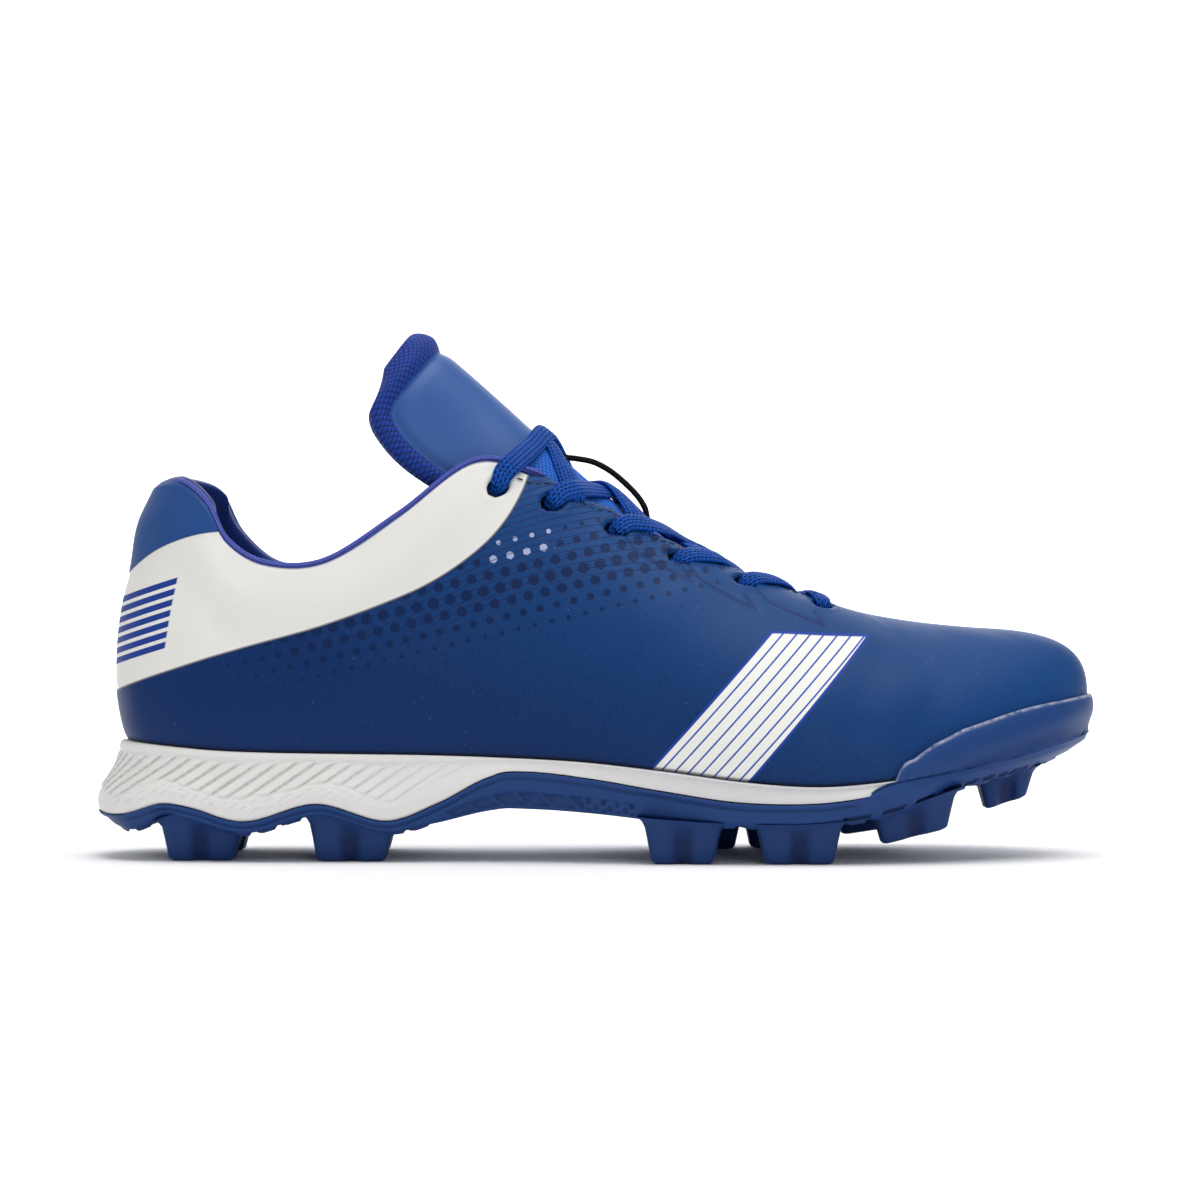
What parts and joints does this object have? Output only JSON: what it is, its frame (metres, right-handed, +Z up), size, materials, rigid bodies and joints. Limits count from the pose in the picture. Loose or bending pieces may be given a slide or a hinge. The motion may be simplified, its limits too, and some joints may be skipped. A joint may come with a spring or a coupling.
{
  "type": "baseball cleat",
  "caption": "Low-cut moulded baseball cleat with a padded collar, tall tongue, flat laces, foam midsole and a studded outsole with a toe bumper.",
  "frame": {"origin": "centre of the bounding box on the floor plane that the studs stand on", "axes": "+X from heel to toe, +Y to the inner side of the foot, +Z up"},
  "size_m": [0.3008, 0.1024, 0.1571],
  "materials": {
    "outsole": "satin moulded royal blue",
    "midsole": "matt white moulded foam",
    "upper": "matt royal blue coated synthetic with an off-white heel quarter",
    "tongue": "smooth synthetic face with a padded knit rim",
    "insole": "navy textile over foam",
    "lace": "flat woven royal blue",
    "keeper": "braided black elastic"
  },
  "bodies": {
    "root": {"outsole": "outsole", "midsole": "midsole", "upper": "upper", "tongue": "tongue", "insole": "insole", "lace_bar": "lace", "keeper_cord": "keeper", "lace_cross_1": "lace", "lace_cross_2": "lace", "lace_cross_3": "lace", "lace_cross_4": "lace", "lace_cross_5": "lace"}
  },
  "joints": []
}
